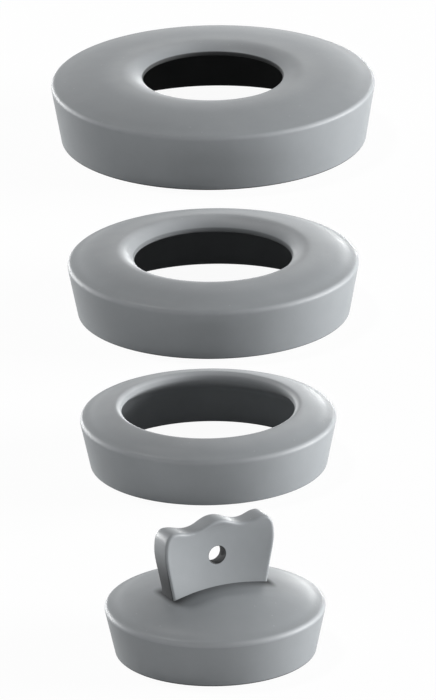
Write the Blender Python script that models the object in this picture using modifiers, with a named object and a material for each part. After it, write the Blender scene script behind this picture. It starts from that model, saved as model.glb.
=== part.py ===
"""Universal rubber sink plug, taken apart: a tapered plug with a finger grip and three adapter rings.

The plug fits the smallest drain. Each ring is a cap with a hole in its top that goes over the piece one
size smaller, and makes it one drain size larger. The four pieces stand on their rims in a row along +Y,
the plug nearest and the largest ring farthest.
"""

import math
from dataclasses import dataclass

import bmesh
import bpy
from mathutils import Vector

MM = 0.001

# Sizes that all four pieces share
PLUG_RIM_RADIUS = 17.0 * MM
RIM_STEP = 3.175 * MM
SKIRT_INSET = 1.65 * MM
FIT_GAP = 0.3 * MM
RIM_ROUNDING = 0.8 * MM
FOOT_ROUNDING = 0.25 * MM

# Sizes of the plug's body
PLUG_HEIGHT = 7.6 * MM
DOME_RISE = 3.35 * MM

# Sizes of the finger grip, with heights above the top of the dome
GRIP_TURN = math.radians(28)
GRIP_LENGTH = 18.8 * MM
GRIP_FOOT_LENGTH = 15.8 * MM
GRIP_END_THICKNESS = 4.3 * MM
GRIP_WAIST_THICKNESS = 1.9 * MM
HOLLOW_HEIGHT = 4.6 * MM
HOLLOW_REACH = 7.6 * MM
GRIP_WIDEST_HEIGHT = 6.7 * MM
HUMP_HEIGHT = 10.7 * MM
DIP_HEIGHT = 9.5 * MM
DIP_OFFSET = 4.6 * MM
HORN_HEIGHT = 10.0 * MM
HORN_INSET = 1.75 * MM
GRIP_ROOT_DEPTH = 4.0 * MM
GRIP_ROUNDING = 0.5 * MM
CORD_HOLE_RADIUS = 1.42 * MM
CORD_HOLE_HEIGHT = 4.85 * MM

# Sizes of the rings
TOP_WALL = 2.0 * MM
HOLE_WALL = 1.0 * MM
CAVITY_ROUNDING = 0.8 * MM
HOLE_EDGE_ROUNDING = 0.25 * MM

# Free floor between the rims of neighbours in the row, and how far two axes stand off its line
PLUG_TO_SMALL = 40.6 * MM
SMALL_TO_MIDDLE = 22.5 * MM
MIDDLE_TO_LARGE = 29.0 * MM
PLUG_OFFSET = 0.25 * MM
SMALL_OFFSET = -0.8 * MM

# Faceting
TURN_STEPS = 64
HOLE_STEPS = 24
DOME_STEPS = 7
LIP_STEPS = 4
CROWN_STEPS = 3
OUTLINE_STEPS = 6
HOLLOW_COLUMNS = 10
HOLLOW_ROWS = 7
SHARP_EDGE = math.radians(55)
MERGE_DISTANCE = 0.005 * MM

RUBBER_GREY = (0.215, 0.226, 0.235, 1.0)
RUBBER_ROUGHNESS = 0.42


@dataclass(frozen=True)
class Corner:
    """Corner of an outline, with how far before and after it its rounding reaches."""

    x: float
    z: float
    before: float = 0.0
    after: float = 0.0
    steps: int = 0

    @property
    def place(self):
        return Vector((self.x, self.z))


@dataclass(frozen=True)
class Ring:
    """One adapter ring: a cap over the piece inside it, with a hole in its top for the grip."""

    name: str
    rim_radius: float
    inner_rim_radius: float
    height: float
    hole_radius: float
    lip_rise: float
    lip_run: float
    lip_drop: float
    crown: float

    @property
    def foot_radius(self):
        return self.rim_radius - SKIRT_INSET

    @property
    def cavity_radius(self):
        return self.inner_rim_radius + FIT_GAP

    @property
    def crest_radius(self):
        return self.hole_radius + self.lip_run


SMALL_RING = Ring(
    name="small_ring",
    rim_radius=PLUG_RIM_RADIUS + RIM_STEP,
    inner_rim_radius=PLUG_RIM_RADIUS,
    height=7.9 * MM,
    hole_radius=13.55 * MM,
    lip_rise=1.75 * MM,
    lip_run=1.25 * MM,
    lip_drop=0.85 * MM,
    crown=0.12 * MM,
)
MIDDLE_RING = Ring(
    name="middle_ring",
    rim_radius=SMALL_RING.rim_radius + RIM_STEP,
    inner_rim_radius=SMALL_RING.rim_radius,
    height=8.6 * MM,
    hole_radius=12.6 * MM,
    lip_rise=2.0 * MM,
    lip_run=2.8 * MM,
    lip_drop=1.5 * MM,
    crown=0.28 * MM,
)
LARGE_RING = Ring(
    name="large_ring",
    rim_radius=MIDDLE_RING.rim_radius + RIM_STEP,
    inner_rim_radius=MIDDLE_RING.rim_radius,
    height=9.7 * MM,
    hole_radius=11.4 * MM,
    lip_rise=1.8 * MM,
    lip_run=3.6 * MM,
    lip_drop=1.05 * MM,
    crown=0.4 * MM,
)


def clear_scene():
    """Remove every object that the file opens with."""
    for item in list(bpy.data.objects):
        bpy.data.objects.remove(item, do_unlink=True)


def new_collection(name):
    """Make a collection under the scene's own."""
    collection = bpy.data.collections.new(name)
    bpy.context.scene.collection.children.link(collection)
    return collection


def rubber(name):
    """Make the satin grey rubber of one piece."""
    material = bpy.data.materials.new(name)
    material.use_nodes = True
    shader = material.node_tree.nodes["Principled BSDF"]
    shader.inputs["Base Color"].default_value = RUBBER_GREY
    shader.inputs["Roughness"].default_value = RUBBER_ROUGHNESS
    shader.inputs["Metallic"].default_value = 0.0
    return material


def rounded(corners):
    """Turn a list of corners into the points of a closed outline, with a quarter ellipse at each rounding."""
    points = []
    for index, corner in enumerate(corners):
        here = corner.place
        if corner.steps == 0:
            points.append(here)
            continue
        back = (corners[index - 1].place - here).normalized() * corner.before
        ahead = (corners[(index + 1) % len(corners)].place - here).normalized() * corner.after
        for step in range(corner.steps + 1):
            turn = math.radians(90) * step / corner.steps
            points.append(here + back * (1 - math.sin(turn)) + ahead * (1 - math.cos(turn)))
    return points


def crowned(inner, outer, crown, steps):
    """Corners between two ends of a top face, raised in the middle by the crown."""
    corners = []
    for step in range(1, steps):
        share = step / steps
        point = inner.place.lerp(outer.place, share)
        corners.append(Corner(point.x, point.y + 4 * crown * share * (1 - share)))
    return corners


def turned(name, outline, closed, collection):
    """Turn an outline (radius, height) round the Z axis with a Screw modifier."""
    mesh = bpy.data.meshes.new(name)
    shape = bmesh.new()
    corners = [shape.verts.new((point.x, 0.0, point.y)) for point in outline]
    for first, second in zip(corners, corners[1:]):
        shape.edges.new((first, second))
    if closed:
        shape.edges.new((corners[-1], corners[0]))
    shape.to_mesh(mesh)
    shape.free()
    body = bpy.data.objects.new(name, mesh)
    collection.objects.link(body)
    screw = body.modifiers.new("turn", "SCREW")
    screw.axis = "Z"
    screw.angle = math.tau
    screw.steps = TURN_STEPS
    screw.render_steps = TURN_STEPS
    screw.use_merge_vertices = True
    screw.merge_threshold = MERGE_DISTANCE
    screw.use_smooth_shade = True
    return body


def flat_solid(name, knots, thickness, collection):
    """Extrude a flat outline to both sides of its plane and make it a closed mesh.

    Each knot of the outline is (point, left handle, right handle), three (x, y) pairs.
    """
    outline = bpy.data.curves.new(name + "_outline", "CURVE")
    outline.dimensions = "2D"
    outline.fill_mode = "BOTH"
    outline.extrude = thickness / 2
    outline.resolution_u = OUTLINE_STEPS
    outline.render_resolution_u = OUTLINE_STEPS
    spline = outline.splines.new("BEZIER")
    spline.bezier_points.add(len(knots) - 1)
    for knot, (point, left, right) in zip(spline.bezier_points, knots):
        knot.handle_left_type = "FREE"
        knot.handle_right_type = "FREE"
        knot.co = (*point, 0.0)
        knot.handle_left = (*left, 0.0)
        knot.handle_right = (*right, 0.0)
    spline.use_cyclic_u = True
    drawn = bpy.data.objects.new(name + "_outline", outline)
    collection.objects.link(drawn)
    bpy.context.view_layer.update()
    mesh = bpy.data.meshes.new_from_object(drawn.evaluated_get(bpy.context.evaluated_depsgraph_get()))
    shape = bmesh.new()
    shape.from_mesh(mesh)
    bmesh.ops.remove_doubles(shape, verts=shape.verts, dist=MERGE_DISTANCE)
    bmesh.ops.recalc_face_normals(shape, faces=shape.faces)
    shape.to_mesh(mesh)
    shape.free()
    solid = bpy.data.objects.new(name, mesh)
    collection.objects.link(solid)
    bpy.data.objects.remove(drawn, do_unlink=True)
    return solid


def rod(name, radius, length, steps, collection):
    """Make a round rod along Z, centred on its origin."""
    mesh = bpy.data.meshes.new(name)
    shape = bmesh.new()
    bmesh.ops.create_cone(
        shape, cap_ends=True, segments=steps, radius1=radius, radius2=radius, depth=length
    )
    shape.to_mesh(mesh)
    shape.free()
    cutter = bpy.data.objects.new(name, mesh)
    collection.objects.link(cutter)
    return cutter


def as_cutter(item):
    """Show an object as wire only, for Booleans."""
    item.hide_render = True
    item.display_type = "WIRE"
    return item


def combine(body, other, operation):
    """Add a Boolean modifier to a body."""
    boolean = body.modifiers.new(operation.lower() + "_" + other.name, "BOOLEAN")
    boolean.operation = operation
    boolean.solver = "EXACT"
    boolean.object = other
    return boolean


def grip_front_outline():
    """Outline of the grip seen from its face, with the dome's top at height zero.

    The wavy top has a hump in the middle, a dip on each side and a horn at each end. The ends bulge, and
    the root goes down into the dome.
    """
    half = GRIP_LENGTH / 2
    horn = half - HORN_INSET
    foot = GRIP_FOOT_LENGTH / 2
    ease = DIP_OFFSET * 0.42
    horn_ease = (horn - DIP_OFFSET) * 0.42
    corner_ease = HORN_INSET * 0.75
    bulge_ease = (HORN_HEIGHT - GRIP_WIDEST_HEIGHT) * 0.7
    right = [
        ((DIP_OFFSET, DIP_HEIGHT), (-ease, 0.0), (horn_ease, 0.0)),
        ((horn, HORN_HEIGHT), (-horn_ease, 0.0), (corner_ease, 0.0)),
        ((half, GRIP_WIDEST_HEIGHT), (0.0, bulge_ease), (0.0, -bulge_ease)),
    ]
    root = ((foot, -GRIP_ROOT_DEPTH), (0.0, GRIP_ROOT_DEPTH), (-foot / 2, 0.0))
    half_outline = [(point, before, after) for point, before, after in right] + [root]
    knots = [((0.0, HUMP_HEIGHT), (-ease, HUMP_HEIGHT), (ease, HUMP_HEIGHT))]
    for point, before, after in half_outline:
        left = (point[0] + before[0], point[1] + before[1])
        after_handle = (point[0] + after[0], point[1] + after[1])
        knots.append((point, left, after_handle))
    for point, left, after_handle in reversed(knots[1:]):
        mirrored = [(-x, z) for x, z in (point, after_handle, left)]
        knots.append(tuple(mirrored))
    return knots


def grip_thickness(x, z):
    """Thickness of the grip at a place on its dished faces, least in the middle of the hollow."""
    along = min(1.0, (2 * x / GRIP_LENGTH) ** 2)
    up = min(1.0, ((z - HOLLOW_HEIGHT) / HOLLOW_REACH) ** 2)
    return GRIP_END_THICKNESS - (GRIP_END_THICKNESS - GRIP_WAIST_THICKNESS) * (1 - along) * (1 - up)


def dished_slab(name, collection):
    """Make an upright slab along X with the grip's thickness everywhere, to shape both of its faces."""
    reach = GRIP_LENGTH / 2 + GRIP_ROUNDING
    columns = [reach * (2 * step / HOLLOW_COLUMNS - 1) for step in range(HOLLOW_COLUMNS + 1)]
    rows = [1.2 * HUMP_HEIGHT * step / HOLLOW_ROWS for step in range(HOLLOW_ROWS + 1)]
    rows.insert(0, -1.5 * GRIP_ROOT_DEPTH)
    mesh = bpy.data.meshes.new(name)
    shape = bmesh.new()
    loops = []
    for z in rows:
        front = [(x, -grip_thickness(x, z) / 2, z) for x in columns]
        back = [(x, -y, z) for x, y, z in reversed(front)]
        loops.append([shape.verts.new(point) for point in front + back])
    for low, high in zip(loops, loops[1:]):
        for index, corner in enumerate(low):
            shape.faces.new((low[index - 1], corner, high[index], high[index - 1]))
    shape.faces.new(loops[0])
    shape.faces.new(loops[-1])
    bmesh.ops.triangulate(shape, faces=shape.faces)
    bmesh.ops.recalc_face_normals(shape, faces=shape.faces)
    shape.to_mesh(mesh)
    shape.free()
    slab = bpy.data.objects.new(name, mesh)
    collection.objects.link(slab)
    return slab


def make_grip(cutters, holder):
    """Make the finger grip's solid, standing on the dome's top, with its cord hole."""
    dome_top = PLUG_HEIGHT + DOME_RISE
    front = flat_solid("grip_front", grip_front_outline(), 2 * GRIP_END_THICKNESS, cutters)
    front.rotation_euler.x = math.radians(90)
    front.location.z = dome_top
    slab = dished_slab("grip_slab", cutters)
    slab.location.z = dome_top
    combine(front, slab, "INTERSECT")
    bevel = front.modifiers.new("soft_edges", "BEVEL")
    bevel.width = GRIP_ROUNDING
    bevel.segments = 2
    bevel.limit_method = "ANGLE"
    bevel.angle_limit = SHARP_EDGE
    hole = rod("cord_hole", CORD_HOLE_RADIUS, 2 * GRIP_END_THICKNESS, HOLE_STEPS, cutters)
    hole.rotation_euler.x = math.radians(90)
    hole.location.z = dome_top + CORD_HOLE_HEIGHT
    combine(front, hole, "DIFFERENCE")
    for item in (front, slab, hole):
        item.parent = holder
        as_cutter(item)
    return front


def plug_outline():
    """Half section of the plug's body: domed top, tapered skirt and flat underside."""
    dome = []
    for step in range(DOME_STEPS):
        share = step / DOME_STEPS
        dome.append(Corner(PLUG_RIM_RADIUS * share, PLUG_HEIGHT + DOME_RISE * (1 - share * share)))
    corners = [
        *dome,
        Corner(PLUG_RIM_RADIUS, PLUG_HEIGHT, RIM_ROUNDING, RIM_ROUNDING, 2),
        Corner(PLUG_RIM_RADIUS - SKIRT_INSET, 0.0, FOOT_ROUNDING, FOOT_ROUNDING, 1),
        Corner(0.0, 0.0),
    ]
    return rounded(corners)


def lip_flank(ring):
    """Corners of the lip from the hole's edge up to its crest, on a parabola that is level at the crest."""
    crest_height = ring.height + ring.lip_rise
    edge_height = crest_height - ring.lip_drop
    corners = [Corner(ring.hole_radius, edge_height, HOLE_EDGE_ROUNDING, HOLE_EDGE_ROUNDING, 1)]
    for step in range(1, LIP_STEPS + 1):
        away = 1 - step / LIP_STEPS
        radius = ring.crest_radius - ring.lip_run * away
        corners.append(Corner(radius, crest_height - ring.lip_drop * away * away))
    return corners


def ring_outline(ring):
    """Section of a ring: tapered skirt, straight cavity, and a top that rises to the lip round its hole."""
    under = ring.height - TOP_WALL
    rim = Corner(ring.rim_radius, ring.height, RIM_ROUNDING, RIM_ROUNDING, 2)
    flank = lip_flank(ring)
    hole_underside = Corner(
        ring.hole_radius, flank[0].z - HOLE_WALL, HOLE_EDGE_ROUNDING, HOLE_EDGE_ROUNDING, 1
    )
    corners = [
        rim,
        Corner(ring.foot_radius, 0.0, FOOT_ROUNDING, FOOT_ROUNDING, 1),
        Corner(ring.cavity_radius, 0.0, FOOT_ROUNDING, FOOT_ROUNDING, 1),
        Corner(ring.cavity_radius, under, CAVITY_ROUNDING, CAVITY_ROUNDING, 2),
        Corner(ring.crest_radius, under + ring.lip_rise),
        hole_underside,
        *flank,
        *crowned(flank[-1], rim, ring.crown, CROWN_STEPS),
    ]
    return rounded(corners)


def make_plug(parts, cutters, x, y):
    """Make the plug with its moulded grip."""
    holder = bpy.data.objects.new("plug_axis", None)
    parts.objects.link(holder)
    holder.location = (x, y, 0.0)
    holder.rotation_euler.z = GRIP_TURN
    body = turned("plug", plug_outline(), False, parts)
    body.parent = holder
    combine(body, make_grip(cutters, holder), "UNION")
    body.data.materials.append(rubber("plug_rubber"))
    return body


def make_ring(ring, parts, x, y):
    """Make one adapter ring."""
    body = turned(ring.name, ring_outline(ring), True, parts)
    body.location = (x, y, 0.0)
    body.data.materials.append(rubber(ring.name + "_rubber"))
    return body


def row_places():
    """Places of the four axes along Y, with the row's middle at zero."""
    radii = [PLUG_RIM_RADIUS, SMALL_RING.rim_radius, MIDDLE_RING.rim_radius, LARGE_RING.rim_radius]
    gaps = [PLUG_TO_SMALL, SMALL_TO_MIDDLE, MIDDLE_TO_LARGE]
    places = [radii[0]]
    for gap, before, after in zip(gaps, radii, radii[1:]):
        places.append(places[-1] + before + gap + after)
    middle = (places[-1] + radii[-1]) / 2
    return [place - middle for place in places]


def main():
    """Build the four pieces in their row."""
    clear_scene()
    parts = new_collection("sink_plug")
    cutters = new_collection("sink_plug_cutters")
    plug_y, small_y, middle_y, large_y = row_places()
    make_plug(parts, cutters, PLUG_OFFSET, plug_y)
    make_ring(SMALL_RING, parts, SMALL_OFFSET, small_y)
    make_ring(MIDDLE_RING, parts, 0.0, middle_y)
    make_ring(LARGE_RING, parts, 0.0, large_y)


main()
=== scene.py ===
"""Finish of the universal rubber sink plug and its three adapter rings, standing in a row behind one another.

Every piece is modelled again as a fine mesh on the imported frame: the turned bodies by Geometry Nodes, the
finger grip from its outline. The rubber is a procedural material made of shared shader groups.
"""

import logging
import math
from dataclasses import dataclass, replace
from enum import Enum
from typing import Any

import bmesh
import bpy
from mathutils import Matrix, Vector
from mathutils.geometry import interpolate_bezier


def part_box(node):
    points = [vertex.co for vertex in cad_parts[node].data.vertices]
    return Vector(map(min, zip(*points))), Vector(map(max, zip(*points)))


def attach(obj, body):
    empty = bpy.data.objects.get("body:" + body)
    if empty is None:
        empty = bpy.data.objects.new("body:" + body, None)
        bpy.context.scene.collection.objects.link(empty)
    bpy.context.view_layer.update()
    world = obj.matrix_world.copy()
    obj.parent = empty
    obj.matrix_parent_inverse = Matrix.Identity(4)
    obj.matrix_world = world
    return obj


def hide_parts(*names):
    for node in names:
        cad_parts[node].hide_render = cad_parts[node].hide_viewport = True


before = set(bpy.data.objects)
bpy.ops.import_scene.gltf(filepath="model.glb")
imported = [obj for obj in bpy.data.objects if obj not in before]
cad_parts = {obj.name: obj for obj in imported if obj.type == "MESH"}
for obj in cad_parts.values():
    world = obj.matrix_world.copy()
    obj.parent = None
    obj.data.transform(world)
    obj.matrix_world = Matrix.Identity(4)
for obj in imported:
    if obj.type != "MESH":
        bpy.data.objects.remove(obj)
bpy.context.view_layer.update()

MM = 0.001
IMAGE_HEIGHT = 700

# Sizes that the four pieces share
PLUG_RIM_RADIUS = 17.0 * MM
RIM_STEP = 3.175 * MM
SKIRT_INSET = 1.65 * MM
FIT_GAP = 0.3 * MM
RIM_ROUNDING = 0.7 * MM
FOOT_ROUNDING = 0.25 * MM
TOP_WALL = 2.0 * MM
HOLE_WALL = 0.55 * MM
CAVITY_ROUNDING = 0.8 * MM
HOLE_EDGE_ROUNDING = 0.25 * MM
GROOVE_FROM_RIM = 1.5 * MM
GROOVE_WIDTH = 0.9 * MM

# Fineness of the meshes
TURN_STEPS = 288
ROUNDING_STEPS = 8
SLOPE_STEPS = 14
LONGEST_STRETCH = 0.7 * MM
MERGE_DISTANCE = 0.002 * MM
CUT_TOLERANCE = 1e-7

# How many times its own size a rounding is kept clear of a slope's points
ROUNDING_CLEARANCE = 1.2

RUBBER_GREY = (0.205, 0.218, 0.228, 1.0)
NOISE_MEAN = 0.5

# Numbers of the Mix node's colour sockets
MIX_FIRST, MIX_SECOND, MIX_RESULT = 6, 7, 2

log = logging.getLogger("sink_plug")


class Node(Enum):
    """CAD nodes that the fine pieces stand for."""

    PLUG = "plug"
    SMALL_RING = "small_ring"
    MIDDLE_RING = "middle_ring"
    LARGE_RING = "large_ring"

    @property
    def place(self) -> Vector:
        """Foot of the piece's axis, on the floor."""
        low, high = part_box(self.value)
        return Vector(((low[0] + high[0]) / 2, (low[1] + high[1]) / 2, 0.0))


class Slot(Enum):
    """Material slot names that each finish carries."""

    PLUG = "plug_rubber"
    RING = "ring_rubber"


class Combining(Enum):
    """Ways to combine two solids."""

    CUT = "DIFFERENCE"
    JOIN = "UNION"


@dataclass(frozen=True)
class Corner:
    """Corner of an outline, with how far its rounding reaches on either side."""

    x: float
    z: float
    rounding: float = 0.0

    @property
    def spot(self) -> Vector:
        """The corner as a point of the outline's plane."""
        return Vector((self.x, self.z))


def quarter_arc() -> list[tuple[float, float]]:
    """Steps of a rounding, each with its shares of the way back and of the way ahead."""
    turns = [math.radians(90) * step / ROUNDING_STEPS for step in range(ROUNDING_STEPS + 1)]
    return [(1 - math.sin(turn), 1 - math.cos(turn)) for turn in turns]


def rounded(corners: list[Corner]) -> list[Vector]:
    """Turn corners into outline points, with a quarter ellipse at each rounding.

    Args:
        corners: corners of a closed outline, in order.

    Returns:
        Points (radius, height) in the same order.
    """
    points = []
    for index, corner in enumerate(corners):
        here = corner.spot
        if corner.rounding == 0:
            points.append(here)
            continue
        back = (corners[index - 1].spot - here).normalized() * corner.rounding
        ahead = (corners[(index + 1) % len(corners)].spot - here).normalized() * corner.rounding
        points += [here + back * behind + ahead * before for behind, before in quarter_arc()]
    return points


def divided(points: list[Vector], closed: bool) -> list[Vector]:
    """Split the long straight stretches of an outline, so that shading stays true beside its roundings.

    Args:
        points: the outline's points.
        closed: whether the last point joins the first.

    Returns:
        The same outline with no stretch longer than the named limit.
    """
    fine = []
    ends = points[1:] + points[:1] if closed else points[1:]
    for start, end in zip(points, ends):
        parts = max(1, math.ceil((end - start).length / LONGEST_STRETCH))
        fine += [start.lerp(end, part / parts) for part in range(parts)]
    if not closed:
        fine.append(points[-1])
    return fine


def rim_groove(from_rim: float, depth: float) -> float:
    """Depth of the shallow groove that sets off the bead along a rim, at a distance from the rim."""
    return depth * math.exp(-(((from_rim - GROOVE_FROM_RIM) / GROOVE_WIDTH) ** 2))


def direction(azimuth: float, elevation: float) -> Vector:
    """Unit vector towards an azimuth and elevation in degrees, where azimuth 0 is in front of the plug."""
    around, up = math.radians(azimuth), math.radians(elevation)
    return Vector((math.sin(around) * math.cos(up), -math.cos(around) * math.cos(up), math.sin(up)))


class Wiring:
    """Adds nodes to a tree and links them by their sockets' names."""

    def __init__(self, tree: bpy.types.NodeTree) -> None:
        """Work on one tree."""
        self.tree = tree

    def socket(self, name: str, kind: str, default: Any = None, output: bool = False) -> None:
        """Add a named socket to the group's outside.

        Args:
            name: the socket's name.
            kind: the socket type's short name, such as Float.
            default: value that an input starts with.
            output: whether it is an output.
        """
        side = "OUTPUT" if output else "INPUT"
        made = self.tree.interface.new_socket(name=name, in_out=side, socket_type="NodeSocket" + kind)
        if default is not None:
            made.default_value = default

    def node(self, kind: str, inputs: dict[Any, Any] | None = None, **settings: Any) -> bpy.types.Node:
        """Add a node, with its settings, and a value or a link for each of its named inputs.

        Args:
            kind: Blender's name of the node type.
            inputs: a value or an output socket for each input, by name or by number.
            settings: the node's own properties.

        Returns:
            The new node.
        """
        made = self.tree.nodes.new(kind)
        for name, value in settings.items():
            setattr(made, name, value)
        for name, value in (inputs or {}).items():
            if isinstance(value, bpy.types.NodeSocket):
                self.tree.links.new(value, made.inputs[name])
            else:
                made.inputs[name].default_value = value
        return made

    def group(
        self, tree: bpy.types.NodeTree, position: bpy.types.NodeSocket, **values: Any
    ) -> bpy.types.Node:
        """Place a shared group on a piece's own coordinates.

        Args:
            tree: the group's tree.
            position: the coordinates.
            values: the group's other inputs, with underscores for the spaces in their names.

        Returns:
            The group's node.
        """
        named = {name.replace("_", " "): value for name, value in values.items()}
        return self.node("ShaderNodeGroup", {"Position": position, **named}, node_tree=tree)

    def math(self, operation: str, first: Any, second: Any = 0.0, third: Any = 0.0) -> bpy.types.NodeSocket:
        """Add a Math node and return its result."""
        node = self.node("ShaderNodeMath", {0: first, 1: second, 2: third}, operation=operation)
        return node.outputs[0]

    def vector(
        self, operation: str, first: Any, second: Any = (0.0, 0.0, 0.0), result: str = "Vector"
    ) -> bpy.types.NodeSocket:
        """Add a Vector Math node and return its result, which is a Vector or a Value."""
        node = self.node("ShaderNodeVectorMath", {0: first, 1: second}, operation=operation)
        return node.outputs[result]

    def split(self, vector: Any) -> list[bpy.types.NodeSocket]:
        """Split a vector into its three parts."""
        return self.node("ShaderNodeSeparateXYZ", {0: vector}).outputs[:3]

    def turned(self, vector: Any, angle: Any) -> bpy.types.NodeSocket:
        """Turn a vector round the Z axis."""
        node = self.node("ShaderNodeVectorRotate", {"Vector": vector, "Angle": angle}, rotation_type="Z_AXIS")
        return node.outputs[0]

    def blend(self, share: Any, first: Any, second: Any, mode: str = "MIX") -> bpy.types.NodeSocket:
        """Add a colour Mix node and return its result."""
        inputs = {0: share, MIX_FIRST: first, MIX_SECOND: second}
        return self.node("ShaderNodeMix", inputs, data_type="RGBA", blend_type=mode).outputs[MIX_RESULT]

    def noise(self, position: Any, size: Any, detail: float, roughness: float) -> bpy.types.NodeSocket:
        """Add a Noise Texture.

        Args:
            position: coordinates that it lies on.
            size: size of its patches.
            detail: how many finer layers it has.
            roughness: how strong the finer layers are.

        Returns:
            Its value, from 0 to 1.
        """
        scale = self.math("DIVIDE", 1.0, size)
        inputs = {"Vector": position, "Scale": scale, "Detail": detail, "Roughness": roughness}
        return self.node("ShaderNodeTexNoise", inputs).outputs[0]

    def fade(self, value: Any, start: Any, end: Any) -> bpy.types.NodeSocket:
        """Soft step from one at the start value to zero at the end value."""
        inputs = {"Value": value, "From Min": start, "From Max": end, "To Min": 1.0, "To Max": 0.0}
        return self.node("ShaderNodeMapRange", inputs, interpolation_type="SMOOTHSTEP").outputs[0]

    def past(self, value: Any, limit: Any) -> bpy.types.NodeSocket:
        """How far a value lies past a limit on either side of zero."""
        return self.math("MAXIMUM", self.math("SUBTRACT", self.math("ABSOLUTE", value), limit), 0.0)

    def distance(self, first: Any, second: Any) -> bpy.types.NodeSocket:
        """Length of the slope over two square sides."""
        squares = self.math("ADD", self.math("POWER", first, 2.0), self.math("POWER", second, 2.0))
        return self.math("SQRT", squares)


def placed(name: str, data: Any) -> bpy.types.Object:
    """Make an object at the origin and link it to the scene.

    Args:
        name: the object's name.
        data: its mesh, lamp or camera.

    Returns:
        The new object.
    """
    made = bpy.data.objects.new(name, data)
    bpy.context.scene.collection.objects.link(made)
    return made


def plain_mesh(source: bpy.types.Object, name: str) -> bpy.types.Object:
    """Turn an object with modifiers into a new plain mesh object, and remove the old one.

    Args:
        source: object whose evaluated shape is kept.
        name: name of the new object.

    Returns:
        The new object, with no modifiers.
    """
    bpy.context.view_layer.update()
    graph = bpy.context.evaluated_depsgraph_get()
    mesh = bpy.data.meshes.new_from_object(source.evaluated_get(graph))
    mesh.transform(source.matrix_world)
    source.modifiers.clear()
    bpy.data.objects.remove(source, do_unlink=True)
    mesh.name = name
    return placed(name, mesh)


def combined(
    piece: bpy.types.Object, tool: bpy.types.Object, way: Combining, name: str
) -> bpy.types.Object:
    """Cut a piece with a second solid, or join the two. Both are used up.

    Args:
        piece: solid that is worked on.
        tool: solid that is taken away or added.
        way: whether it is a cut or a join.
        name: name of the new object.

    Returns:
        The result as a plain mesh object.
    """
    work = piece.modifiers.new(name, "BOOLEAN")
    work.operation = way.value
    work.solver = "EXACT"
    work.object = tool
    made = plain_mesh(piece, name)
    bpy.data.objects.remove(tool, do_unlink=True)
    return made


def with_outward_faces(piece: bpy.types.Object) -> None:
    """Point all faces of a closed mesh outwards and shade it smooth.

    Args:
        piece: object whose mesh is changed.
    """
    shape = bmesh.new()
    shape.from_mesh(piece.data)
    bmesh.ops.recalc_face_normals(shape, faces=shape.faces)
    if shape.calc_volume(signed=True) < 0:
        bmesh.ops.reverse_faces(shape, faces=shape.faces)
    for face in shape.faces:
        face.smooth = True
    shape.to_mesh(piece.data)
    shape.free()


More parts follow.
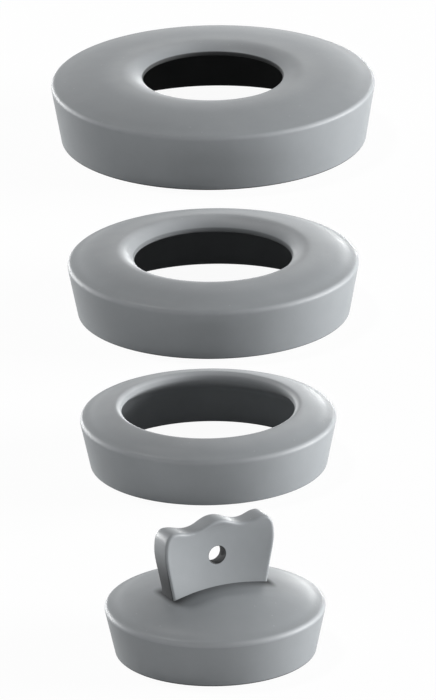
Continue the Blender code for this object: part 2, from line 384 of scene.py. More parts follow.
class TurningLathe:
    """Turns an outline round an upright axis with Geometry Nodes."""

    def __init__(self) -> None:
        """Build the tree once, for all turned pieces."""
        self.tree = bpy.data.node_groups.new("turned_solid", "GeometryNodeTree")
        wires = Wiring(self.tree)
        wires.socket("Geometry", "Geometry")
        wires.socket("Steps", "Int", TURN_STEPS)
        wires.socket("Closing Rows", "Int", 0)
        wires.socket("Place", "Vector")
        wires.socket("Merge Distance", "Float", MERGE_DISTANCE)
        wires.socket("Finish", "Material")
        wires.socket("Geometry", "Geometry", output=True)
        self._wire(wires)

    @staticmethod
    def _whole(wires: Wiring, operation: str, first: Any, second: Any) -> bpy.types.NodeSocket:
        """Add an Integer Math node and return its result."""
        node = wires.node("FunctionNodeIntegerMath", {0: first, 1: second}, operation=operation)
        return node.outputs[0]

    def _wire(self, wires: Wiring) -> None:
        """Lay a grid of outline rows by turning steps, and bend it round the axis.

        Args:
            wires: wiring of the empty tree.
        """
        asked = wires.node("NodeGroupInput").outputs
        outline = asked["Geometry"]
        count = wires.node("GeometryNodeAttributeDomainSize", {"Geometry": outline}).outputs["Point Count"]
        rows = self._whole(wires, "ADD", count, asked["Closing Rows"])
        columns = self._whole(wires, "ADD", asked["Steps"], 1)
        grid = wires.node("GeometryNodeMeshGrid", {"Vertices X": rows, "Vertices Y": columns}).outputs["Mesh"]
        index = wires.node("GeometryNodeInputIndex").outputs[0]
        row = self._whole(wires, "MODULO", self._whole(wires, "DIVIDE_FLOOR", index, columns), count)
        column = self._whole(wires, "MODULO", index, columns)
        position = wires.node("GeometryNodeInputPosition").outputs[0]
        sampled = wires.node(
            "GeometryNodeSampleIndex",
            {"Geometry": outline, "Value": position, "Index": row},
            data_type="FLOAT_VECTOR",
        ).outputs[0]
        angle = wires.math("MULTIPLY", wires.math("DIVIDE", column, asked["Steps"]), math.tau)
        bent = wires.node(
            "GeometryNodeSetPosition",
            {"Geometry": grid, "Position": wires.turned(sampled, angle), "Offset": asked["Place"]},
        ).outputs[0]
        closed = wires.node(
            "GeometryNodeMergeByDistance", {"Geometry": bent, "Distance": asked["Merge Distance"]}
        ).outputs[0]
        smooth = wires.node("GeometryNodeSetShadeSmooth", {"Geometry": closed}).outputs[0]
        real = wires.node("GeometryNodeRealizeInstances", {"Geometry": smooth}).outputs[0]
        dressed = wires.node(
            "GeometryNodeSetMaterial", {"Geometry": real, "Material": asked["Finish"]}
        ).outputs[0]
        wires.node("NodeGroupOutput", {"Geometry": dressed})

    def turn(
        self, name: str, outline: list[Vector], closed: bool, place: Vector, finish: bpy.types.Material | None
    ) -> bpy.types.Object:
        """Turn one outline into a closed mesh.

        Args:
            name: the new object's name.
            outline: points (radius, height), down the outer side first.
            closed: whether the outline's ends join.
            place: foot of the axis.
            finish: material of the surface.

        Returns:
            A mesh object at the origin, with its place in its mesh.
        """
        drawn = bpy.data.meshes.new(name + "_outline")
        edges = [(index, index + 1) for index in range(len(outline) - 1)]
        drawn.from_pydata([(point.x, 0.0, point.y) for point in outline], edges, [])
        guide = placed(name + "_outline", drawn)
        lathe = guide.modifiers.new("lathe", "NODES")
        lathe.node_group = self.tree
        values = {
            "Steps": TURN_STEPS,
            "Closing Rows": int(closed),
            "Place": place,
            "Merge Distance": MERGE_DISTANCE,
            "Finish": finish,
        }
        for item in self.tree.interface.items_tree:
            if item.in_out == "INPUT" and item.name in values:
                lathe[item.identifier] = values[item.name]
        made = plain_mesh(guide, name)
        with_outward_faces(made)
        return made


class RubberEffects:
    """Shader groups that all the rubber shares."""

    def __init__(self) -> None:
        """Build each group once."""
        self.clouds = self._clouds()
        self.grain = self._grain()
        self.rim = self._rim()
        self.dust = self._dust()
        self.inside = self._inner_shade()
        self.crease = self._crease()

    @staticmethod
    def _new(
        name: str, places: tuple[str, ...], results: tuple[str, ...], **values: float
    ) -> tuple[Wiring, Any]:
        """Start a shader group.

        Args:
            name: the group's name.
            places: names of its vector inputs.
            results: names of its outputs.
            values: its number inputs and what they start with, with underscores for spaces.

        Returns:
            The group's wiring, and its inputs by name.
        """
        wires = Wiring(bpy.data.node_groups.new(name, "ShaderNodeTree"))
        for place in places:
            wires.socket(place, "Vector")
        for value_name, value in values.items():
            wires.socket(value_name.replace("_", " "), "Float", value)
        for result in results:
            wires.socket(result, "Float", output=True)
        return wires, wires.node("NodeGroupInput").outputs

    def _clouds(self) -> bpy.types.NodeTree:
        """Make the broad, faint lighter and darker patches of the rubber mix.

        Returns:
            The group's tree.
        """
        wires, asked = self._new("mix_clouds", ("Position",), ("Shade",), Patch_Size=8 * MM, Depth=0.06)
        broad = wires.noise(asked["Position"], asked["Patch Size"], detail=4.0, roughness=0.62)
        centred = wires.math("SUBTRACT", broad, NOISE_MEAN)
        shade = wires.math("MULTIPLY_ADD", centred, wires.math("MULTIPLY", asked["Depth"], 2.0), 1.0)
        wires.node("NodeGroupOutput", {"Shade": shade})
        return wires.tree

    def _grain(self) -> bpy.types.NodeTree:
        """Make the fine matt grain that the mould leaves, with a slow waviness below it.

        Returns:
            The group's tree.
        """
        wires, asked = self._new(
            "mould_grain",
            ("Position",),
            ("Height", "Polish"),
            Grain_Size=0.35 * MM,
            Wave_Size=5 * MM,
            Wave_Share=0.5,
            Fine_Share=0.6,
        )
        fine = wires.noise(asked["Position"], asked["Grain Size"], detail=2.0, roughness=0.55)
        slow = wires.noise(asked["Position"], asked["Wave Size"], detail=1.0, roughness=0.4)
        height = wires.math("MULTIPLY_ADD", slow, asked["Wave Share"], fine)
        slow_part = wires.math("SUBTRACT", slow, NOISE_MEAN)
        fine_part = wires.math("SUBTRACT", fine, NOISE_MEAN)
        polish = wires.math("MULTIPLY_ADD", fine_part, asked["Fine Share"], slow_part)
        wires.node("NodeGroupOutput", {"Height": height, "Polish": polish})
        return wires.tree

    def _rim(self) -> bpy.types.NodeTree:
        """Mask the soft band along a round edge, where a highlight is painted in a paler colour and the
        rubber is made rougher.

        Returns:
            The group's tree.
        """
        wires, asked = self._new(
            "painted_highlight_band",
            ("Position", "Foot"),
            ("Mask",),
            Rim_Radius=20 * MM,
            Rim_Height=8 * MM,
            Band_Width=0.6 * MM,
            Patch_Size=4 * MM,
            Patch_Base=0.35,
            Patch_Swing=0.9,
        )
        x, y, z = wires.split(wires.vector("SUBTRACT", asked["Position"], asked["Foot"]))
        across = wires.math("SUBTRACT", wires.distance(x, y), asked["Rim Radius"])
        away = wires.distance(across, wires.math("SUBTRACT", z, asked["Rim Height"]))
        patchy = wires.noise(asked["Position"], asked["Patch Size"], detail=3.0, roughness=0.5)
        patch_share = wires.math("MULTIPLY_ADD", patchy, asked["Patch Swing"], asked["Patch Base"])
        mask = wires.math("MULTIPLY", wires.fade(away, 0.0, asked["Band Width"]), patch_share)
        wires.node("NodeGroupOutput", {"Mask": mask})
        return wires.tree

    def _dust(self) -> bpy.types.NodeTree:
        """Mask the sparse pale specks that lie on the upper faces.

        Returns:
            The group's tree.
        """
        wires, asked = self._new(
            "dust_specks",
            ("Position",),
            ("Mask",),
            Spacing=1.6 * MM,
            Speck_Size=0.08,
            Empty_Share=0.6,
            Steep=0.5,
            Level=0.95,
        )
        cells = wires.node(
            "ShaderNodeTexVoronoi",
            {"Vector": asked["Position"], "Scale": wires.math("DIVIDE", 1.0, asked["Spacing"])},
        ).outputs
        near = wires.math("LESS_THAN", cells["Distance"], asked["Speck Size"])
        chosen = wires.node("ShaderNodeSeparateColor", {0: cells["Color"]}).outputs[0]
        few = wires.math("GREATER_THAN", chosen, asked["Empty Share"])
        upward = wires.split(wires.node("ShaderNodeNewGeometry").outputs["Normal"])[2]
        lying = wires.node(
            "ShaderNodeMapRange", {"Value": upward, "From Min": asked["Steep"], "From Max": asked["Level"]}
        ).outputs[0]
        mask = wires.math("MULTIPLY", wires.math("MULTIPLY", near, few), lying)
        wires.node("NodeGroupOutput", {"Mask": mask})
        return wires.tree

    def _inner_shade(self) -> bpy.types.NodeTree:
        """Mask the inner faces where shade is painted into the colour: the hole's wall, the cavity and the
        underside.

        The inward and downward values are parts of the normal, where each mask is full and where it ends.

        Returns:
            The group's tree.
        """
        wires, asked = self._new(
            "inner_painted_shade",
            ("Position", "Foot"),
            ("Mask",),
            Hole_Radius=12 * MM,
            Inward_Full=-0.97,
            Inward_End=-0.85,
            Downward_Full=-0.4,
            Downward_End=-0.15,
            Wall_Full=0.08 * MM,
            Wall_End=0.3 * MM,
        )
        normal = wires.node("ShaderNodeNewGeometry").outputs["True Normal"]
        outward = wires.vector("SUBTRACT", asked["Position"], asked["Foot"])
        level = wires.vector("MULTIPLY", outward, (1.0, 1.0, 0.0))
        radial = wires.vector("NORMALIZE", level)
        facing = wires.vector("DOT_PRODUCT", normal, radial, result="Value")
        inward = wires.fade(facing, asked["Inward Full"], asked["Inward End"])
        below = wires.fade(wires.split(normal)[2], asked["Downward Full"], asked["Downward End"])
        radius = wires.vector("LENGTH", level, result="Value")
        past_edge = wires.math("SUBTRACT", radius, asked["Hole Radius"])
        at_hole = wires.fade(past_edge, asked["Wall Full"], asked["Wall End"])
        sunken = wires.math("MAXIMUM", inward, below)
        wires.node("NodeGroupOutput", {"Mask": wires.math("MAXIMUM", sunken, at_hole)})
        return wires.tree

    def _crease(self) -> bpy.types.NodeTree:
        """Mask the painted shade round the grip's foot, up its ends and in its bore: colour darkened where
        shade falls in the crease, on the lower part of the end faces and in the cord hole.

        Returns:
            The group's tree.
        """
        wires, asked = self._new(
            "crease_painted_shade",
            ("Position", "Middle"),
            ("Mask",),
            Turn=0.0,
            Half_Length=8 * MM,
            Half_Waist=1.4 * MM,
            Half_End=2.1 * MM,
            Floor_Width=2.9 * MM,
            Floor_Share=0.78,
            Floor_Base=0.8,
            Floor_Swing=0.6,
            Dome_Slope=0.6,
            Dome_Height=1 * MM,
            End_Slope=0.75,
            End_Reach=4 * MM,
            End_Foot=0.8 * MM,
            End_Height=10 * MM,
            End_Sharpness=2.2,
            Bore_Radius=1.4 * MM,
            Bore_Height=5 * MM,
            Bore_Full=0.03 * MM,
            Bore_End=0.15 * MM,
        )
        unturned = wires.math("MULTIPLY", asked["Turn"], -1.0)
        local = wires.vector("SUBTRACT", asked["Position"], asked["Middle"])
        x, y, z = wires.split(wires.turned(local, unturned))
        normal = wires.node("ShaderNodeNewGeometry").outputs["True Normal"]
        endwise, _, upward = wires.split(wires.turned(normal, unturned))

        share = wires.math("DIVIDE", x, asked["Half Length"])
        squared = wires.math("MULTIPLY", share, share)
        swell = wires.math("SUBTRACT", asked["Half End"], asked["Half Waist"])
        half = wires.math("MULTIPLY_ADD", squared, swell, asked["Half Waist"])
        past_end = wires.math("MULTIPLY", wires.past(x, asked["Half Length"]), asked["End Sharpness"])
        away = wires.distance(past_end, wires.past(y, half))

        lying = wires.math("GREATER_THAN", upward, asked["Dome Slope"])
        on_dome = wires.math("MULTIPLY", lying, wires.math("LESS_THAN", z, asked["Dome Height"]))
        deeper = wires.math("MULTIPLY_ADD", squared, asked["Floor Swing"], asked["Floor Base"])
        depth = wires.math("MULTIPLY", asked["Floor Share"], deeper)
        band = wires.math("MULTIPLY", wires.fade(away, 0.0, asked["Floor Width"]), depth)
        floor_mask = wires.math("MULTIPLY", band, on_dome)

        on_end = wires.math("GREATER_THAN", wires.math("ABSOLUTE", endwise), asked["End Slope"])
        beside = wires.math("MULTIPLY", on_end, wires.math("LESS_THAN", away, asked["End Reach"]))
        end_mask = wires.math("MULTIPLY", beside, wires.fade(z, asked["End Foot"], asked["End Height"]))

        from_bore = wires.distance(x, wires.math("SUBTRACT", z, asked["Bore Height"]))
        past_bore = wires.math("SUBTRACT", from_bore, asked["Bore Radius"])
        bore_mask = wires.fade(past_bore, asked["Bore Full"], asked["Bore End"])
        foot_mask = wires.math("MAXIMUM", floor_mask, end_mask)
        wires.node("NodeGroupOutput", {"Mask": wires.math("MAXIMUM", foot_mask, bore_mask)})
        return wires.tree


@dataclass(frozen=True)
class RubberFinish:
    """Satin grey rubber as it comes from the mould, with painted highlights along rims and lips and painted
    shade in hollows and round the grip.
    """

    name: str
    slot: Slot
    colour: tuple[float, float, float, float] = RUBBER_GREY
    # Pale tone of the dust specks and of the painted highlights along rims and lips.
    pale: tuple[float, float, float, float] = (0.42, 0.43, 0.44, 1.0)
    # Near black tone of the painted shade on inner faces and round the grip's foot.
    painted_shade_tone: tuple[float, float, float, float] = (0.012, 0.013, 0.014, 1.0)
    roughness: float = 0.44
    roughness_swing: float = 0.12
    index_of_refraction: float = 1.5
    specular_level: float = 0.42
    cloud_size: float = 9 * MM
    cloud_depth: float = 0.11
    grain_size: float = 0.32 * MM
    grain_bump: float = 0.16
    grain_depth: float = 0.03 * MM
    # Painted highlight bands along the rim's bead and round the hole's lip: a paler colour, and a rougher
    # surface.
    rim_band: float = 0.7 * MM
    rim_highlight_share: float = 0.28
    rim_dulling: float = 0.28
    lip_band: float = 4.2 * MM
    lip_highlight_share: float = 0.4
    lip_dulling: float = 0.15
    dust: float = 0.25
    inner_shade_share: float = 0.85
    inner_dulling: float = 0.4
    # Share of the painted shade round the grip's foot and in its cord hole.
    crease_shade_share: float = 0.9

    def material(
        self,
        effects: RubberEffects,
        foot: Vector,
        rim_radius: float,
        rim_height: float,
        hole_radius: float = -1 * MM,
        crest: Corner | None = None,
        crease: dict[str, Any] | None = None,
    ) -> bpy.types.Material:
        """Make the material of one piece.

        Args:
            effects: the shared shader groups.
            foot: foot of the piece's axis.
            rim_radius: radius of the rim's edge.
            rim_height: height of the rim's edge.
            hole_radius: radius of the hole in its top, less than nothing if it has none.
            crest: highest line of the lip round that hole.
            crease: values of the crease group round a grip's foot, if the piece has one.

        Returns:
            The procedural material.
        """
        made = bpy.data.materials.new(self.name)
        made.use_nodes = True
        wires = Wiring(made.node_tree)
        shader = made.node_tree.nodes["Principled BSDF"]
        position = wires.node("ShaderNodeTexCoord").outputs["Object"]

        def mask(tree: bpy.types.NodeTree, **values: Any) -> bpy.types.NodeSocket:
            """Place a shared group and return its mask."""
            return wires.group(tree, position, **values).outputs["Mask"]

        clouds = wires.group(effects.clouds, position, Patch_Size=self.cloud_size, Depth=self.cloud_depth)
        grain = wires.group(effects.grain, position, Grain_Size=self.grain_size).outputs
        rim = mask(
            effects.rim, Foot=foot, Rim_Radius=rim_radius, Rim_Height=rim_height, Band_Width=self.rim_band
        )
        # Painted highlight along the rim's edge, and pale dust specks on the upper faces.
        layers = [
            (rim, self.rim_highlight_share, self.pale, self.rim_dulling),
            (mask(effects.dust), self.dust, self.pale, 0.0),
        ]
        # The lip's band is a painted highlight as well.
        if crest:
            lip = mask(
                effects.rim, Foot=foot, Rim_Radius=crest.x, Rim_Height=crest.z, Band_Width=self.lip_band
            )
            layers.append((lip, self.lip_highlight_share, self.pale, self.lip_dulling))
        # Painted shade: the hole's wall, the cavity and the underside darkened towards near black.
        inside = mask(effects.inside, Foot=foot, Hole_Radius=hole_radius)
        layers.append((inside, self.inner_shade_share, self.painted_shade_tone, self.inner_dulling))
        # Painted shade: the crease round the grip's foot, the end faces' lower part and the cord hole
        # darkened towards near black.
        if crease:
            crease_shade = mask(effects.crease, **crease)
            layers.append((crease_shade, self.crease_shade_share, self.painted_shade_tone, self.inner_dulling))

        shade = clouds.outputs["Shade"]
        tint = wires.node("ShaderNodeCombineColor", {0: shade, 1: shade, 2: shade}).outputs[0]
        colour = wires.blend(1.0, self.colour, tint, "MULTIPLY")
        rough = wires.math("MULTIPLY_ADD", grain["Polish"], self.roughness_swing, self.roughness)
        for covered, share, tone, dulling in layers:
            colour = wires.blend(wires.math("MULTIPLY", covered, share), colour, tone)
            rough = wires.math("MULTIPLY_ADD", covered, dulling, rough)
        bump = wires.node(
            "ShaderNodeBump",
            {"Strength": self.grain_bump, "Distance": self.grain_depth, "Height": grain["Height"]},
        ).outputs[0]
        for name, source in (("Base Color", colour), ("Roughness", rough), ("Normal", bump)):
            wires.tree.links.new(source, shader.inputs[name])
        shader.inputs["IOR"].default_value = self.index_of_refraction
        shader.inputs["Specular IOR Level"].default_value = self.specular_level
        return made


@dataclass
class AdapterRing:
    """Cap with a hole in its top that goes over the piece one size smaller."""

    node: Node
    rim_radius: float
    height: float
    hole_radius: float
    lip_rise: float
    lip_run: float
    lip_drop: float
    swell: float
    groove: float
    hole_shade_share: float
    # How strongly painted shade darkens each ring's hole wall and cavity.
    finish: RubberFinish

    @property
    def cavity_radius(self) -> float:
        """Radius of the cavity that holds the next smaller rim."""
        return self.rim_radius - RIM_STEP + FIT_GAP

    @property
    def crest(self) -> Corner:
        """Highest line of the lip."""
        return Corner(self.hole_radius + self.lip_run, self.height + self.lip_rise)

    def outline(self) -> list[Vector]:
        """Draw the ring's section: tapered skirt, straight cavity, and a top that rises to the hole's lip.

        Returns:
            Points (radius, height) of the closed section.
        """
        under = self.height - TOP_WALL
        crest = self.crest
        edge = Corner(self.hole_radius, crest.z - self.lip_drop, HOLE_EDGE_ROUNDING)
        corners = [
            Corner(self.rim_radius, self.height, RIM_ROUNDING),
            Corner(self.rim_radius - SKIRT_INSET, 0.0, FOOT_ROUNDING),
            Corner(self.cavity_radius, 0.0, FOOT_ROUNDING),
            Corner(self.cavity_radius, under, CAVITY_ROUNDING),
            Corner(crest.x, under + self.lip_rise),
            Corner(edge.x, edge.z - HOLE_WALL, HOLE_EDGE_ROUNDING),
            edge,
            *self._flank(crest),
            *self._top(crest),
        ]
        return divided(rounded(corners), closed=True)

    def _flank(self, crest: Corner) -> list[Corner]:
        """Draw the lip's inner flank, a parabola that is level at the crest.

        Args:
            crest: highest line of the lip.

        Returns:
            Corners from the hole's edge up to the crest.
        """
        corners = []
        for step in range(1, SLOPE_STEPS):
            away = 1 - step / SLOPE_STEPS
            radius = crest.x - self.lip_run * away
            if radius > self.hole_radius + ROUNDING_CLEARANCE * HOLE_EDGE_ROUNDING:
                corners.append(Corner(radius, crest.z - self.lip_drop * away * away))
        return corners

    def _top(self, crest: Corner) -> list[Corner]:
        """Draw the swollen top.

        Args:
            crest: highest line of the lip.

        Returns:
            Corners from the crest down to the bead along the rim.
        """
        corners = []
        for step in range(2 * SLOPE_STEPS):
            share = step / (2 * SLOPE_STEPS)
            radius = crest.x + (self.rim_radius - crest.x) * share
            from_rim = self.rim_radius - radius
            if from_rim > ROUNDING_CLEARANCE * RIM_ROUNDING:
                fall = self.lip_rise * share**self.swell
                corners.append(Corner(radius, crest.z - fall - rim_groove(from_rim, self.groove)))
        return corners

    def build(self, lathe: TurningLathe, effects: RubberEffects) -> bpy.types.Object:
        """Turn the ring and give it its rubber.

        Args:
            lathe: tool that turns the section.
            effects: the shared shader groups.

        Returns:
            The finished ring.
        """
        foot = self.node.place
        finish = replace(self.finish, inner_shade_share=self.hole_shade_share)
        rubber = finish.material(effects, foot, self.rim_radius, self.height, self.hole_radius, self.crest)
        return lathe.turn(self.node.value + "_moulding", self.outline(), True, foot, rubber)


@dataclass
class FingerGrip:
    """Upright grip with hollow faces, bulging ends and a wavy top, moulded on the plug."""

    turn: float = math.radians(28)
    length: float = 18.8 * MM
    foot_length: float = 15.8 * MM
    end_thickness: float = 4.3 * MM
    waist_thickness: float = 1.9 * MM
    hollow_height: float = 4.6 * MM
    hollow_reach: float = 7.6 * MM
    widest_height: float = 6.7 * MM
    hump_height: float = 10.7 * MM
    dip_height: float = 9.5 * MM
    dip_offset: float = 4.6 * MM
    horn_height: float = 10.0 * MM
    horn_inset: float = 1.75 * MM
    root_depth: float = 4.0 * MM
    rounding: float = 0.5 * MM
    hole_radius: float = 1.42 * MM
    hole_height: float = 4.85 * MM
    hole_edge: float = 0.1 * MM
    wave_ease: float = 0.42
    bulge_ease: float = 0.7
    shoulder_ease: float = 0.75
    sharpest_inset: float = 0.5
    curve_steps: int = 18
    columns: int = 48
    rows: int = 30

    def _knots(self) -> list[tuple[Vector, Vector, Vector]]:
        """Set the Bezier knots of the face's outline, from the hump round.

        Returns:
            For each knot its point, the handle before it and the handle after it.
        """
        half = self.length / 2
        horn = half - self.horn_inset
        foot = self.foot_length / 2
        ease = self.dip_offset * self.wave_ease
        horn_ease = (horn - self.dip_offset) * self.wave_ease
        bulge = (self.horn_height - self.widest_height) * self.bulge_ease
        shoulder = self.horn_inset * self.shoulder_ease
        right = [
            ((self.dip_offset, self.dip_height), (-ease, 0.0), (horn_ease, 0.0)),
            ((horn, self.horn_height), (-horn_ease, 0.0), (shoulder, 0.0)),
            ((half, self.widest_height), (0.0, bulge), (0.0, -bulge)),
            ((foot, -self.root_depth), (0.0, self.root_depth), (-foot / 2, 0.0)),
        ]
        hump = Vector((0.0, self.hump_height))
        knots = [(hump, hump - Vector((ease, 0.0)), hump + Vector((ease, 0.0)))]
        for point, before, after in right:
            spot = Vector(point)
            knots.append((spot, spot + Vector(before), spot + Vector(after)))
        for spot, before, after in reversed(knots[1:]):
            mirrored = [Vector((-item.x, item.y)) for item in (spot, after, before)]
            knots.append(tuple(mirrored))
        return knots

    def _outline(self) -> list[Vector]:
        """Draw the face's outline.

        Returns:
            Its points, clockwise from the hump.
        """
        knots = self._knots()
        points = []
        for (start, _, leave), (end, arrive, _) in zip(knots, knots[1:] + knots[:1]):
            curve = interpolate_bezier(start, leave, arrive, end, self.curve_steps + 1)
            points += [Vector(point[:2]) for point in curve[:-1]]
        return points

    def _inset(self, points: list[Vector], distance: float) -> list[Vector]:
        """Move a clockwise outline inwards.

        Args:
            points: the outline's points.
            distance: how far it moves.

        Returns:
            The moved points in the same order.
        """
        moved = []
        for index, here in enumerate(points):
            before = (here - points[index - 1]).normalized()
            after = (points[(index + 1) % len(points)] - here).normalized()
            along = (before + after).normalized()
            inward = Vector((along.y, -along.x))
            stretch = max(self.sharpest_inset, along.dot(after))
            moved.append(here + inward * distance / stretch)
        return moved

    def half_thickness(self, x: float, z: float) -> float:
        """Measure the grip at a place on its dished faces.

        Args:
            x: place along the grip, from its middle.
            z: height over the dome.

        Returns:
            Half the thickness there.
        """
        along = min(1.0, (2 * x / self.length) ** 2)
        up = min(1.0, ((z - self.hollow_height) / self.hollow_reach) ** 2)
        return (self.end_thickness - (self.end_thickness - self.waist_thickness) * (1 - along) * (1 - up)) / 2

    def _slab(self) -> bmesh.types.BMesh:
        """Make the grip as a flat slab of the waist's thickness, with round edges, lengthwise along X.

        Returns:
            The slab's closed mesh.
        """
        outline = self._outline()
        face = self.waist_thickness / 2
        arc = [(self.rounding * ahead, face - self.rounding * back) for back, ahead in quarter_arc()]
        layers = [(inset, -y) for inset, y in reversed(arc)] + arc
        shape = bmesh.new()
        loops = []
        for inset, y in layers:
            loops.append([shape.verts.new((point.x, y, point.y)) for point in self._inset(outline, inset)])
        count = len(outline)
        for first, second in zip(loops, loops[1:]):
            for index in range(count):
                after = (index + 1) % count
                shape.faces.new((first[index], first[after], second[after], second[index]))
        shape.faces.new(reversed(loops[0]))
        shape.faces.new(loops[-1])
        return shape

    def _block(self) -> bpy.types.Object:
        """Cut the slab's faces into a grid and swell them towards the ends, the top and the foot.

        Returns:
            The grip's closed block, lengthwise along X.
        """
        shape = self._slab()
        height = self.hump_height + self.root_depth
        across = [self.length * (cut / self.columns - 0.5) for cut in range(1, self.columns)]
        level = [height * cut / self.rows - self.root_depth for cut in range(1, self.rows)]
        cuts = [((x, 0, 0), (1, 0, 0)) for x in across] + [((0, 0, z), (0, 0, 1)) for z in level]
        for place, direct in cuts:
            geometry = list(shape.verts) + list(shape.edges) + list(shape.faces)
            bmesh.ops.bisect_plane(shape, geom=geometry, plane_co=place, plane_no=direct, dist=CUT_TOLERANCE)
        for vert in shape.verts:
            swell = self.half_thickness(vert.co.x, vert.co.z) - self.waist_thickness / 2
            vert.co.y += math.copysign(swell, vert.co.y)
        mesh = bpy.data.meshes.new("grip_block")
        shape.to_mesh(mesh)
        shape.free()
        block = placed("grip_block", mesh)
        with_outward_faces(block)
        return block

    def _hole_cutter(self, lathe: TurningLathe) -> bpy.types.Object:
        """Make the cutter of the cord hole, flared where it meets the faces.

        Args:
            lathe: tool that turns it.

        Returns:
            The cutter, along Z.
        """
        face = self.waist_thickness / 2
        far = self.end_thickness
        edge = [
            Vector((self.hole_radius + self.hole_edge * ahead, face - self.hole_edge * back))
            for back, ahead in quarter_arc()
        ]
        wide = self.hole_radius + self.hole_edge
        upper = [Vector((0.0, far)), Vector((wide, far))] + list(reversed(edge))
        lower = [Vector((point.x, -point.y)) for point in reversed(upper)]
        return lathe.turn("cord_hole", upper + lower, False, Vector((0.0, 0.0, 0.0)), None)

    def crease(self, middle: Vector) -> dict[str, Any]:
        """Gather the crease group's values.

        Args:
            middle: point of the dome that the grip stands on.

        Returns:
            The values by name, with underscores for spaces.
        """
        return {
            "Middle": middle,
            "Turn": self.turn,
            "Half_Length": self.foot_length / 2,
            "Half_Waist": self.half_thickness(0.0, 0.0),
            "Half_End": self.half_thickness(self.foot_length / 2, 0.0),
            "Bore_Radius": self.hole_radius,
            "Bore_Height": self.hole_height,
        }

    def build(self, lathe: TurningLathe, middle: Vector) -> bpy.types.Object:
        """Make the grip in its place on the dome.

        Args:
            lathe: tool that turns the hole's cutter.
            middle: point of the dome that the grip stands on.

        Returns:
            The grip as a closed mesh, its root inside the dome.
        """
        block = self._block()
        hole = self._hole_cutter(lathe)
        lying = Matrix.Rotation(math.pi / 2, 4, "X")
        hole.data.transform(Matrix.Translation((0.0, 0.0, self.hole_height)) @ lying)
        grip = combined(block, hole, Combining.CUT, "grip")
        grip.data.transform(Matrix.Translation(middle) @ Matrix.Rotation(self.turn, 4, "Z"))
        return grip


@dataclass
class TaperedPlug:
    """Domed, tapered plug with its moulded grip."""

    grip: FingerGrip
    finish: RubberFinish
    node: Node = Node.PLUG
    rim_radius: float = PLUG_RIM_RADIUS
    height: float = 7.6 * MM
    dome_rise: float = 3.35 * MM
    groove: float = 0.1 * MM
    dome_steps: int = 36
    sharp_angle: float = math.radians(38)

    def outline(self) -> list[Vector]:
        """Draw the half section: domed top, tapered skirt and flat underside.

        Returns:
            Points (radius, height) from the dome's top to the middle of the underside.
        """
        dome = []
        for step in range(self.dome_steps):
            share = step / self.dome_steps
            from_rim = self.rim_radius * (1 - share)
            if from_rim > ROUNDING_CLEARANCE * RIM_ROUNDING:
                rise = self.dome_rise * (1 - share * share) - rim_groove(from_rim, self.groove)
                dome.append(Corner(self.rim_radius * share, self.height + rise))
        corners = [
            *dome,
            Corner(self.rim_radius, self.height, RIM_ROUNDING),
            Corner(self.rim_radius - SKIRT_INSET, 0.0, FOOT_ROUNDING),
            Corner(0.0, 0.0),
        ]
        return divided(rounded(corners), closed=False)

    def build(self, lathe: TurningLathe, effects: RubberEffects) -> bpy.types.Object:
        """Turn the body, join the grip to it and give both their rubber.

        Args:
            lathe: tool that turns the body.
            effects: the shared shader groups.

        Returns:
            The finished plug.
        """
        foot = self.node.place
        middle = foot + Vector((0.0, 0.0, self.height + self.dome_rise))
        crease = self.grip.crease(middle)
        rubber = self.finish.material(effects, foot, self.rim_radius, self.height, crease=crease)
        body = lathe.turn("plug_body", self.outline(), False, foot, rubber)
        grip = self.grip.build(lathe, middle)
        plug = combined(body, grip, Combining.JOIN, "plug_moulding")
        plug.data.materials.clear()
        plug.data.materials.append(rubber)
        plug.data.shade_smooth()
        plug.data.set_sharp_from_angle(angle=self.sharp_angle)
        return plug


@dataclass(frozen=True)
class SoftLamp:
    """Oblong studio lamp that looks at the row's middle."""

    name: str
    azimuth: float
    elevation: float
    distance: float
    width: float
    height: float
    power: float

    def hang(self) -> None:
        """Put the lamp in the scene."""
        lamp = bpy.data.lights.new(self.name, "AREA")
        lamp.shape = "RECTANGLE"
        lamp.size = self.width
        lamp.size_y = self.height
        lamp.energy = self.power
        item = placed(self.name, lamp)
        back = direction(self.azimuth, self.elevation)
        item.location = back * self.distance
        item.rotation_euler = back.to_track_quat("Z", "Y").to_euler()


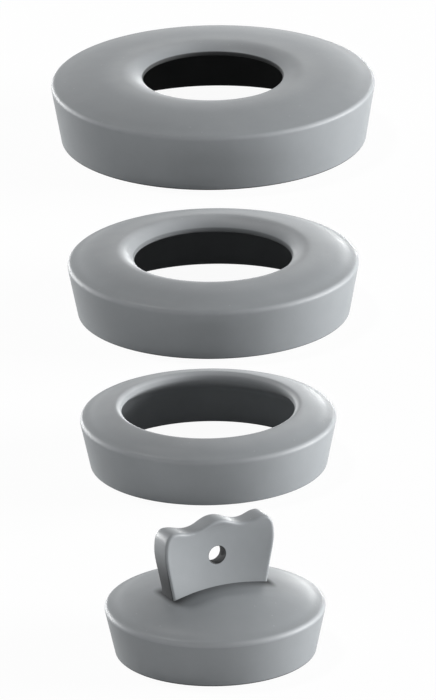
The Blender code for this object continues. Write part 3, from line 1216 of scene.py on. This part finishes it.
@dataclass
class Studio:
    """Pale floor, soft lamps and the camera."""

    camera_azimuth: float = 0.3
    camera_elevation: float = 21.2
    camera_roll: float = 0.9
    lens: float = 1000.0
    sensor: float = 36.0
    nearest_share: float = 0.01
    farthest_share: float = 20.0
    pixel_size: float = 0.1588 * MM
    aim: tuple[float, float, float] = (0.64 * MM, 10.1 * MM, 0.0)
    floor_reach: float = 30.0
    floor_grey: tuple[float, float, float, float] = (0.8, 0.8, 0.8, 1.0)
    floor_white: tuple[float, float, float, float] = (0.9, 0.9, 0.9, 1.0)
    floor_glow: float = 0.95
    mirrored_glow: float = 0.35
    sky_strength: float = 0.2
    lamps: tuple[SoftLamp, ...] = (
        SoftLamp("key_right", 96, 9, distance=4.8, width=3.0, height=1.3, power=550.0),
        SoftLamp("back_right", 165, 4, distance=5.2, width=1.0, height=0.5, power=48.0),
        SoftLamp("upper_left", -118, 67, distance=4.6, width=0.7, height=0.7, power=70.0),
        SoftLamp("low_left", -136, 3.5, distance=4.8, width=3.0, height=0.5, power=270.0),
        SoftLamp("front_fill", -15, 4, distance=4.8, width=2.4, height=0.5, power=60.0),
    )

    def build(self) -> None:
        """Set up everything that isn't part of the object."""
        self._floor()
        self._sky()
        for lamp in self.lamps:
            lamp.hang()
        self._camera()
        bpy.context.scene.view_settings.view_transform = "Standard"

    @staticmethod
    def _seen_directly(wires: Wiring) -> bpy.types.NodeSocket:
        """Mask what the camera sees straight, by reflection or through glass.

        Args:
            wires: wiring of the material or world.

        Returns:
            A mask that is one there and zero for light that falls on the object.
        """
        path = wires.node("ShaderNodeLightPath").outputs
        seen = wires.math("MAXIMUM", path["Is Camera Ray"], path["Is Glossy Ray"])
        return wires.math("MAXIMUM", seen, path["Is Transmission Ray"])

    def _floor(self) -> None:
        """Lay the pale floor, which keeps a soft shadow of the pieces."""
        mesh = bpy.data.meshes.new("floor")
        shape = bmesh.new()
        bmesh.ops.create_grid(shape, x_segments=1, y_segments=1, size=self.floor_reach)
        shape.to_mesh(mesh)
        shape.free()
        floor = placed("floor", mesh)
        paint = bpy.data.materials.new("pale_floor")
        paint.use_nodes = True
        paint.node_tree.nodes.clear()
        wires = Wiring(paint.node_tree)
        seen = self._seen_directly(wires)
        hidden = wires.node("ShaderNodeBsdfDiffuse", {"Color": self.floor_grey}).outputs[0]
        pale = wires.node("ShaderNodeBsdfDiffuse", {"Color": self.floor_white}).outputs[0]
        glow = wires.node("ShaderNodeEmission", {"Strength": 1.0}).outputs[0]
        straight = wires.node("ShaderNodeLightPath").outputs["Is Camera Ray"]
        share = wires.math("MULTIPLY_ADD", straight, self.floor_glow - self.mirrored_glow, self.mirrored_glow)
        shown = wires.node("ShaderNodeMixShader", {0: share, 1: pale, 2: glow}).outputs[0]
        surface = wires.node("ShaderNodeMixShader", {0: seen, 1: hidden, 2: shown}).outputs[0]
        wires.node("ShaderNodeOutputMaterial", {"Surface": surface})
        mesh.materials.append(paint)

    def _sky(self) -> None:
        """Make the surroundings white to the eye and soft as a light."""
        world = bpy.data.worlds.new("studio")
        bpy.context.scene.world = world
        world.use_nodes = True
        world.node_tree.nodes.clear()
        wires = Wiring(world.node_tree)
        seen = self._seen_directly(wires)
        strength = wires.math("MULTIPLY_ADD", seen, 1.0 - self.sky_strength, self.sky_strength)
        sky = wires.node(
            "ShaderNodeBackground", {"Color": (1.0, 1.0, 1.0, 1.0), "Strength": strength}
        ).outputs[0]
        wires.node("ShaderNodeOutputWorld", {"Surface": sky})

    def _camera(self) -> None:
        """Look at the row from the photo's angle: a long lens, with a sensor that spans the height."""
        data = bpy.data.cameras.new("camera")
        data.lens = self.lens
        data.sensor_width = self.sensor
        distance = self.pixel_size * IMAGE_HEIGHT / self.sensor * self.lens
        data.clip_start = distance * self.nearest_share
        data.clip_end = distance * self.farthest_share
        camera = placed("camera", data)
        back = direction(self.camera_azimuth, self.camera_elevation)
        camera.location = Vector(self.aim) + back * distance
        level = back.to_track_quat("Z", "Y").to_matrix().to_4x4()
        camera.rotation_euler = (level @ Matrix.Rotation(-math.radians(self.camera_roll), 4, "Z")).to_euler()
        bpy.context.scene.camera = camera


def hand_over(piece: bpy.types.Object, node: Node) -> None:
    """Put a finished piece on its body, in place of its CAD node.

    Args:
        piece: the finished piece.
        node: CAD node that it stands for.
    """
    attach(piece, "root")
    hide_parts(node.value)
    log.info("%s: %d faces, in place of %s", piece.name, len(piece.data.polygons), node.value)


def main() -> None:
    """Build the pieces in order, then the studio, and log each piece's face count."""
    logging.basicConfig(level=logging.INFO, format="%(name)s: %(message)s")
    plug_rubber = RubberFinish("plug_rubber", Slot.PLUG)
    ring_rubber = RubberFinish("ring_rubber", Slot.RING)
    lathe = TurningLathe()
    effects = RubberEffects()
    pieces = [
        TaperedPlug(FingerGrip(), plug_rubber),
        AdapterRing(
            Node.SMALL_RING,
            rim_radius=PLUG_RIM_RADIUS + RIM_STEP,
            height=7.9 * MM,
            hole_radius=13.55 * MM,
            lip_rise=1.75 * MM,
            lip_run=1.0 * MM,
            lip_drop=0.6 * MM,
            swell=1.3,
            groove=0.08 * MM,
            hole_shade_share=0.1,
            finish=ring_rubber,
        ),
        AdapterRing(
            Node.MIDDLE_RING,
            rim_radius=PLUG_RIM_RADIUS + 2 * RIM_STEP,
            height=8.6 * MM,
            hole_radius=12.6 * MM,
            lip_rise=2.0 * MM,
            lip_run=2.8 * MM,
            lip_drop=1.5 * MM,
            swell=1.5,
            groove=0.07 * MM,
            hole_shade_share=0.45,
            finish=ring_rubber,
        ),
        AdapterRing(
            Node.LARGE_RING,
            rim_radius=PLUG_RIM_RADIUS + 3 * RIM_STEP,
            height=9.7 * MM,
            hole_radius=11.4 * MM,
            lip_rise=1.8 * MM,
            lip_run=3.6 * MM,
            lip_drop=1.05 * MM,
            swell=1.85,
            groove=0.04 * MM,
            hole_shade_share=0.97,
            finish=ring_rubber,
        ),
    ]
    for piece in pieces:
        hand_over(piece.build(lathe, effects), piece.node)
    Studio().build()


if __name__ == "__main__":
    main()
